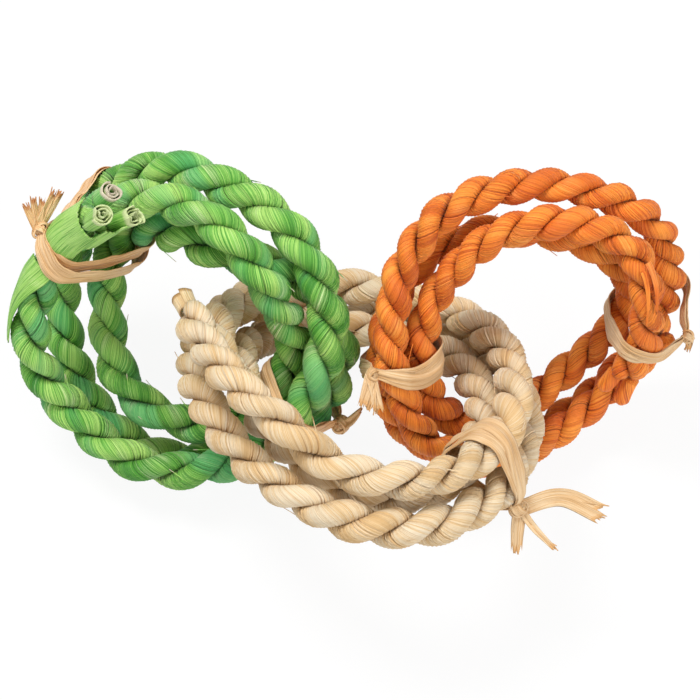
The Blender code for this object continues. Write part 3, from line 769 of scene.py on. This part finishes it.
def rolled_husk(ring, name, base, heading, side, diameter, length, finish, slot, node, seed, turns=2.6):
    """A husk rolled up on itself, with a ragged open end."""
    rng = np.random.default_rng(seed)
    piece = Piece(ring)
    heading = unit(heading)
    across = unit(side - heading * dot(side, heading))
    other = np.cross(heading, across)
    a = np.linspace(0, 2 * pi * turns, 80)
    inward = diameter / 2 - ROLL_PITCH * a / (2 * pi)
    rag = length * (1 + ROLL_RAG * wander(a, 0.8, rng))
    rows = np.linspace(0, 1, 9)
    wavy = 1 + ROLL_WAVE * wander(a, 0.5, rng)
    points, fibre = [], []
    for share in rows:
        flare = 1 + ROLL_FLARE * share ** 2
        outer = inward * flare * wavy
        front, back = (base + np.outer(rag * share, heading) + np.outer(r * np.cos(a), across)
                       + np.outer(r * np.sin(a), other) for r in (outer, outer - STRIP_THICK))
        points.append(np.concatenate([front, back[::-1]]))
        place = np.stack([a * diameter / 2 + seed * 0.01, 0 * a, rag * share + seed * 0.3], -1)
        fibre.append(np.concatenate([place, place[::-1]]))
    cut = smooth((rows - 0.55) / 0.45)[:, None]
    # painted shade, darkest at the roll's base and fading toward its open end
    crease = 0.5 * (1 - smooth(rows / 0.35))[:, None]
    piece.sections(np.array(points), np.array(fibre), crease, cut, flat_ends=True)
    piece.make(name, finish, slot, node)


def leaf_over_rope(piece, start, end, centres, arcs, seed, gap=0.0006, columns=25, fray=0.001, tuck=0.0):
    """A flat husk leaf on a turn of the rope. Its two ends reach these arcs, degrees each side of centre.

    Its first end may be tucked in closer to the rope, to pass under a tie.
    """
    coil = piece.ring.coil
    rng = np.random.default_rng(seed)
    t = np.linspace(start, end, LEAF_ROWS)
    share = np.linspace(0, 1, LEAF_ROWS)
    spot = coil.centre(t)
    along = unit(coil.centre(t + 0.002) - coil.centre(t - 0.002)) * (1 if end > start else -1)
    out = coil.outward(np.clip(t, coil.start, coil.end))
    out = unit(out - along * dot(out, along))
    side = np.cross(along, out)
    half = arcs[0] + (arcs[1] - arcs[0]) * smooth(share)
    v = np.linspace(-1, 1, columns)
    a = np.radians(np.linspace(*centres, LEAF_ROWS)[:, None] + half[:, None] * v)
    run = lengths(spot)
    ridge = sum(np.cos(k * v * pi + rng.uniform(0, 6)) * (0.6 + 0.4 * wander(run, 0.008, rng))[:, None] / 3
                for k in (2, 4, 6))
    held = 1 - smooth(share / 0.3)[:, None]
    reach = coil.rope / 2 + gap - tuck * held + LEAF_RIDGE * ridge
    tear = smooth((run - run[-1] + LEAF_TEAR) / LEAF_TEAR)[:, None] * fray * rng.uniform(-1, 1, columns)
    way = out[:, None] * np.cos(a)[..., None] + side[:, None] * np.sin(a)[..., None]
    ground = spot[:, None] + along[:, None] * tear[..., None]
    front, back = ground + way * (reach + STRIP_THICK)[..., None], ground + way * reach[..., None]
    points = np.concatenate([front, back[:, ::-1]], 1)
    across = np.broadcast_to(v * radians(max(arcs)) * coil.rope / 2, a.shape)
    ahead = np.broadcast_to(run[:, None], a.shape)
    flat = np.stack([across + seed * 0.011, 0 * across, ahead + seed * 0.23], -1)
    # painted shade in the grooves between the leaf's ridges
    crease = np.clip(-ridge * 0.8, 0, 1)
    cut = 0.7 * smooth((run - run[-1] + LEAF_CUT) / LEAF_CUT)[:, None] * rng.uniform(0.4, 1, columns)
    piece.sections(points, both_faces(flat), both_faces(crease), both_faces(cut), flat_ends=True)


def green_looks(ring):
    coil = ring.coil
    twisted_rope(ring, GREEN_HUSK, "green_husk", 11, GREEN_LAY, 0.4)
    tie = Tie(ring, 174, BROAD_TIE, (1, -12), 20, 101)
    for k in range(5):
        share = k / 4
        tip = np.array((0.0072, -0.0018, 0.0029)) * (1 - share) + np.array((0.0009, -0.0076, 0.0095)) * share
        tip = tip * (1 + 0.15 * (k % 2))
        tie.tail([tip * 0.5, tip], [0.0032, 0.0024, 0.0016], (0, 1, 1), 111 + k)
    tie.make("green_upper_tie_strip", TAN_HUSK, "tan_husk", "green_upper_tie", knot=0.6)
    tie = Tie(ring, 7, TIE_WIDTH, (5, -5), 0, 131)
    tie.tail([(0.0015, 0.002, -0.004), (0.002, 0.004, -0.0105)], [0.0032, 0.0026, 0.0014], (0, 1, -0.5), 137)
    tie.make("green_lower_tie_strip", TAN_HUSK, "tan_husk", "green_lower_tie")
    end, ahead, out, side = coil.tip_axes()
    for k, length in enumerate((0.0095, 0.0075, 0.0105)):
        a = radians(90 + 120 * k)
        spoke = out * sin(a) + side * cos(a)
        base = end + ahead * 0.0005 + spoke * (GREEN_ROLL * 0.68)
        rolled_husk(ring, f"green_rolled_end_{k + 1}", base, ahead + spoke * 0.12, spoke, GREEN_ROLL, length,
                    GREEN_HUSK if k == 1 else GREEN_LEAF, "green_husk", f"green_end_roll_{k + 1}", 151 + k)
    piece = Piece(ring)
    tip = coil.tip
    leaf_over_rope(piece, tip - 0.092, tip - 0.004, (-15, -15), (72, 66), 161, fray=0.0006, tuck=0.0006)
    leaf_over_rope(piece, tip - 0.04, tip + 0.022, (66, 66), (26, 22), 162, gap=0.0002, fray=0.0006)
    leaf_over_rope(piece, tip - 0.04, tip + 0.034, (92, 92), (20, 17), 164, gap=0.0, fray=0.0008)
    piece.make("green_end_leaf_sheet", GREEN_LEAF, "green_leaf", "green_end_leaf")
    piece = Piece(ring)
    leaf_over_rope(piece, tip - 0.125, tip - 0.252, (6, 62), (46, 28), 163, fray=0.003, tuck=0.0005)
    piece.make("green_wrap_leaf_sheet", GREEN_LEAF, "green_leaf", "green_wrap_leaf")


def cream_looks(ring):
    coil = ring.coil
    twisted_rope(ring, CREAM_HUSK, "cream_husk", 31, CREAM_LAY, 1.3)
    tie = Tie(ring, -58, TIE_WIDTH, (6, -6), -40, 201)
    for k, (route, widths, fray) in enumerate((
            ([(0.0048, 0.0078, -0.0078), (0.0156, 0.0122, -0.0116)], [0.0046, 0.0056, 0.0058], 0.003),
            ([(0.004, -0.0024, 0.0034), (0.0084, -0.0047, 0.0068)], [0.004, 0.0038, 0.003], 0.002),
            ([(0.007, 0.0006, 0.001), (0.0146, 0.0013, 0.0008)], [0.0028, 0.0022, 0.0014], 0.0012))):
        tie.tail(route, widths, (0, 1, 1), 211 + k, fray)
    tie.make("cream_tie_strip", PALE_HUSK, "pale_husk", "cream_tie")
    end, ahead, out, _ = coil.tip_axes()
    rolled_husk(ring, "cream_rolled_end", end + ahead * SEAT, ahead, out, CREAM_ROLL, 0.0065, CREAM_HUSK,
                "cream_husk", "cream_end_roll", 221, turns=1.3)


def orange_looks(ring):
    coil = ring.coil
    twisted_rope(ring, ORANGE_HUSK, "orange_husk", 51, ORANGE_LAY, 2.1)
    tie = Tie(ring, 141, TIE_WIDTH, (4, -4), 20, 301, sag=0.003)
    for k in range(3):
        share = k / 2
        tip = np.array((0.005, 0.0016, -0.0075)) * (1 - share) + np.array((0.0008, 0.0042, -0.0095)) * share
        tie.tail([tip * 0.55, tip], [0.0034, 0.003, 0.0026], (0.5, 1, 0.3), 311 + k)
    tie.make("orange_left_tie_strip", PALE_HUSK, "pale_husk", "orange_left_tie", knot=0.7)
    tie = Tie(ring, -44, TIE_WIDTH * 0.85, (5, -5), 40, 331, sag=0.004)
    tie.tail([(0.0006, 0.0014, 0.0012), (0.001, 0.0024, 0.0026)], [0.0026, 0.0022, 0.0016], (0, 1, -1), 337)
    tie.make("orange_right_tie_strip", PALE_HUSK, "pale_husk", "orange_right_tie", knot=0.75)
    end, ahead, _, side = coil.tip_axes()
    for k, (way, length) in enumerate(((1, 0.0085), (-1, 0.0105))):
        base = end + ahead * SEAT + side * (way * (PLY_END + SEAT) / 2)
        s = np.linspace(0, 1, 22)
        line = base + np.outer(length * s, ahead) + np.outer(way * 0.0012 * s * s, side)
        piece = Piece(ring)
        ply_end(piece, line, 341 + k)
        piece.make(f"orange_ply_end_{k + 1}", ORANGE_HUSK, "orange_husk", f"orange_strand_end_{k + 1}")
    for k, (start, stop, centre, arcs) in enumerate(((0.183, 0.14, -30, (9, 4)), (0.178, 0.128, -4, (8, 3)))):
        piece = Piece(ring)
        leaf_over_rope(piece, coil.tip - start, coil.tip - stop, (centre, centre), arcs, 351 + k, gap=SEAT,
                       columns=7)
        piece.make(f"orange_sliver_strip_{k + 1}", ORANGE_HUSK, "orange_husk", f"orange_sliver_{k + 1}")


def ply_end(piece, line, seed):
    """The loose end of a ply, rounded off and folded along its length."""
    rng = np.random.default_rng(seed)
    along = unit(np.gradient(line, axis=0))
    first, second = carried(along)
    run = lengths(line)
    around = np.linspace(0, 2 * pi, 44, endpoint=False)
    ease = np.clip((run[-1] - run) / (PLY_END * 0.6), 0.01, 1)
    level = PLY_END / 2 * np.sqrt(1 - (1 - ease) ** 2)[:, None]
    folds = 0.04 * np.cos(5 * around + 300 * run[:, None] + rng.uniform(0, 6))
    folds = folds + 0.025 * np.cos(9 * around + 260 * run[:, None])
    thick = level * (1 + folds)
    points = line[:, None] + first[:, None] * (thick * np.cos(around))[..., None]
    points = points + second[:, None] * (thick * np.sin(around))[..., None]
    turn = around + 220 * run[:, None]
    fibre = np.stack([np.cos(turn) * PLY_END / 2, np.sin(turn) * PLY_END / 2,
                      np.broadcast_to(run[:, None], turn.shape) + seed], -1)
    # painted shade in the fold valleys
    piece.sections(points, fibre, np.clip(-folds * 6, 0, 1), 0.0, flat_ends=False)


def studio():
    """White table, soft lights and the camera."""
    bpy.ops.mesh.primitive_plane_add(size=6, location=(0, 0, 0))
    table = bpy.context.object
    table.name = "table_top"
    paper = Finish("white_paper")
    paper.feed(Base_Color=(0.86, 0.86, 0.86, 1), Roughness=0.9, Specular_IOR_Level=0.0)
    straight, mirrored, through = (
        paper.node("LightPath", output=f"Is {ray} Ray") for ray in ("Camera", "Glossy", "Transmission"))
    glow = paper.node("Emission", None, {"Color": (1, 1, 1, 1), "Strength": 1.0})
    share = (straight + mirrored + through).capped() * TABLE_GLOW
    surface = paper.node("MixShader", None, {0: share, 1: Shade(paper, paper.shader.outputs[0]), 2: glow})
    paper.link(paper.tree.nodes["Material Output"].inputs["Surface"], surface)
    table.data.materials.append(paper.material)

    world = bpy.data.worlds.new("studio")
    bpy.context.scene.world = world
    world.use_nodes = True
    world.node_tree.nodes["Background"].inputs["Color"].default_value = (1, 1, 1, 1)
    world.node_tree.nodes["Background"].inputs["Strength"].default_value = SKY_STRENGTH

    middle = (cad_box[0] + cad_box[1]) / 2
    middle.z = LIT_HEIGHT
    for name, place, size, power in LAMPS:
        lamp = bpy.data.lights.new(name, "AREA")
        lamp.size, lamp.energy = size, power
        holder = bpy.data.objects.new(name, lamp)
        bpy.context.scene.collection.objects.link(holder)
        holder.location = place
        holder.rotation_euler = (middle - holder.location).to_track_quat("-Z", "Y").to_euler()

    camera = bpy.data.cameras.new("camera")
    holder = bpy.data.objects.new("camera", camera)
    bpy.context.scene.collection.objects.link(holder)
    target = Vector(cream_place) + Vector(CAMERA_AIM)
    rise = radians(CAMERA_RISE)
    holder.location = target + Vector((0, -cos(rise), sin(rise))) * CAMERA_AWAY
    holder.rotation_euler = (target - holder.location).to_track_quat("-Z", "Y").to_euler()
    camera.sensor_width = SENSOR
    camera.lens = SENSOR / (2 * tan(radians(CAMERA_ANGLE / 2)))
    bpy.context.scene.camera = holder
    bpy.context.scene.view_settings.view_transform = "Standard"


green_looks(green_ring)
cream_looks(cream_ring)
orange_looks(orange_ring)
studio()
